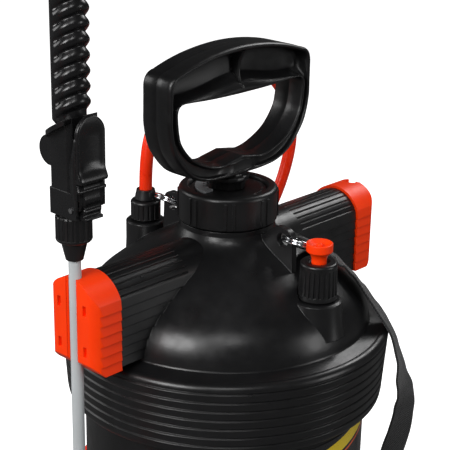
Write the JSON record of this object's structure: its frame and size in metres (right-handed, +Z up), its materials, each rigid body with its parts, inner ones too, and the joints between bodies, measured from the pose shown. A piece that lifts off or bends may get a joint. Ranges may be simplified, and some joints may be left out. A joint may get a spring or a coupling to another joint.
{
  "type": "backpack sprayer",
  "caption": "Pump-up pressure sprayer with a domed tank, D-grip pump, lance held in a side clip, hose, relief valve and shoulder straps.",
  "frame": {"origin": "centre of the foot's underside, on the floor", "axes": "+Z up along the tank and the pump, X along the two side wings with the lance on -X, relief valve on -Y, hose outlet on +Y"},
  "size_m": [0.4299, 0.2683, 0.6518],
  "materials": {
    "black_tank": "satin, blow moulded",
    "black_foot": "fine grain",
    "label_print": "printed film",
    "orange": "satin",
    "seal_rubber": "matt",
    "black_satin": "satin",
    "black_handle": "satin, scuffed at the edges",
    "black_gloss": "semi-gloss",
    "grey_plastic": "matt",
    "steel": "drawn",
    "lance_grey": "satin",
    "hose_red": "smooth",
    "webbing": "woven",
    "chrome_wire": "polished"
  },
  "bodies": {
    "sprayer": {"tank": "black_tank", "base_foot": "black_foot", "tank_label": "label_print", "lance_clip_cap": "orange", "spare_clip_cap": "orange", "neck_gasket": "seal_rubber", "pump_cylinder": "black_satin", "rod_guide": "black_satin", "handle_lock_tab": "grey_plastic", "relief_valve_spring": "steel", "outlet_connector": "black_satin", "dip_tube": "grey_plastic", "dip_strainer": "grey_plastic", "lance_tube": "lance_grey", "lance_gland": "black_satin", "lance_valve_body": "black_gloss", "lance_grip": "black_gloss", "hose_strain_relief": "seal_rubber", "trigger_pin": "steel", "plunger_spring": "steel", "nozzle_body": "black_satin", "spray_hose": "hose_red", "front_strap": "webbing", "front_strap_ring": "chrome_wire", "back_strap": "webbing", "back_strap_ring": "chrome_wire"},
    "pump_piston": {"piston": "grey_plastic", "piston_seal": "seal_rubber"},
    "pump_shaft": {"pump_rod": "steel", "pump_handle": "black_handle", "handle_pin": "steel"},
    "pump_nut": {"pump_nut": "black_satin"},
    "air_valve": {"air_valve_flap": "seal_rubber"},
    "relief_cap": {"relief_valve_cap": "black_satin"},
    "relief_knob": {"relief_valve_knob": "orange", "relief_valve_seal": "seal_rubber"},
    "outlet_nut": {"outlet_nut": "black_satin"},
    "lance_nut": {"lance_nut": "black_satin"},
    "nozzle_cap": {"nozzle_cap": "orange"},
    "trigger": {"trigger": "black_gloss"},
    "valve_plunger": {"valve_plunger": "grey_plastic"},
    "front_slider": {"front_strap_slider": "black_satin"},
    "back_slider": {"back_strap_slider": "black_satin"}
  },
  "joints": [
    {"name": "pump_stroke", "type": "slide", "parent": "sprayer", "child": "pump_piston", "axis": [0, 0, 1], "range_m": [0, 0.2]},
    {"name": "handle_turn", "type": "hinge", "parent": "pump_piston", "child": "pump_shaft", "pos_m": [0, 0, 0.403], "axis": [0, 0, 1], "continuous": true},
    {"name": "pump_nut_turn", "type": "hinge", "parent": "sprayer", "child": "pump_nut", "pos_m": [0, 0, 0.39], "axis": [0, 0, 1], "continuous": true},
    {"name": "air_valve_lift", "type": "slide", "parent": "sprayer", "child": "air_valve", "axis": [0, 0, -1], "range_m": [0, 0.0015], "stiffness_N_per_m": 60, "springref_m": -0.001},
    {"name": "relief_cap_turn", "type": "hinge", "parent": "sprayer", "child": "relief_cap", "pos_m": [0, -0.082, 0.356], "axis": [0, 0, 1], "continuous": true},
    {"name": "relief_knob_pull", "type": "slide", "parent": "relief_cap", "child": "relief_knob", "axis": [0, 0, 1], "range_m": [0, 0.004], "stiffness_N_per_m": 400, "springref_m": -0.004, "deforming": ["relief_valve_spring"]},
    {"name": "outlet_nut_turn", "type": "hinge", "parent": "sprayer", "child": "outlet_nut", "pos_m": [0, 0.082, 0.363], "axis": [0, 0, 1], "continuous": true},
    {"name": "lance_nut_turn", "type": "hinge", "parent": "sprayer", "child": "lance_nut", "pos_m": [-0.1375, 0, 0.405], "axis": [0, 0, 1], "continuous": true},
    {"name": "nozzle_cap_turn", "type": "hinge", "parent": "sprayer", "child": "nozzle_cap", "pos_m": [-0.1375, 0, 0.02], "axis": [0, 0, 1], "range_deg": [0, 360]},
    {"name": "trigger_press", "type": "hinge", "parent": "sprayer", "child": "trigger", "pos_m": [-0.1375, -0.01, 0.4205], "axis": [-1, 0, 0], "range_deg": [0, 5], "stiffness_Nm_per_rad": 0.6, "springref_deg": -8.59},
    {"name": "plunger_travel", "type": "slide", "parent": "sprayer", "child": "valve_plunger", "axis": [0, 1, 0], "range_m": [0, 0.002]},
    {"name": "front_slider_travel", "type": "slide", "parent": "sprayer", "child": "front_slider", "axis": [0, 0, 1], "range_m": [0, 0.03]},
    {"name": "back_slider_travel", "type": "slide", "parent": "sprayer", "child": "back_slider", "axis": [0, 0, 1], "range_m": [0, 0.03]}
  ],
  "couplings": [
    {"joint": "plunger_travel", "follows": "trigger_press", "m_per_rad": 0.0225}
  ]
}
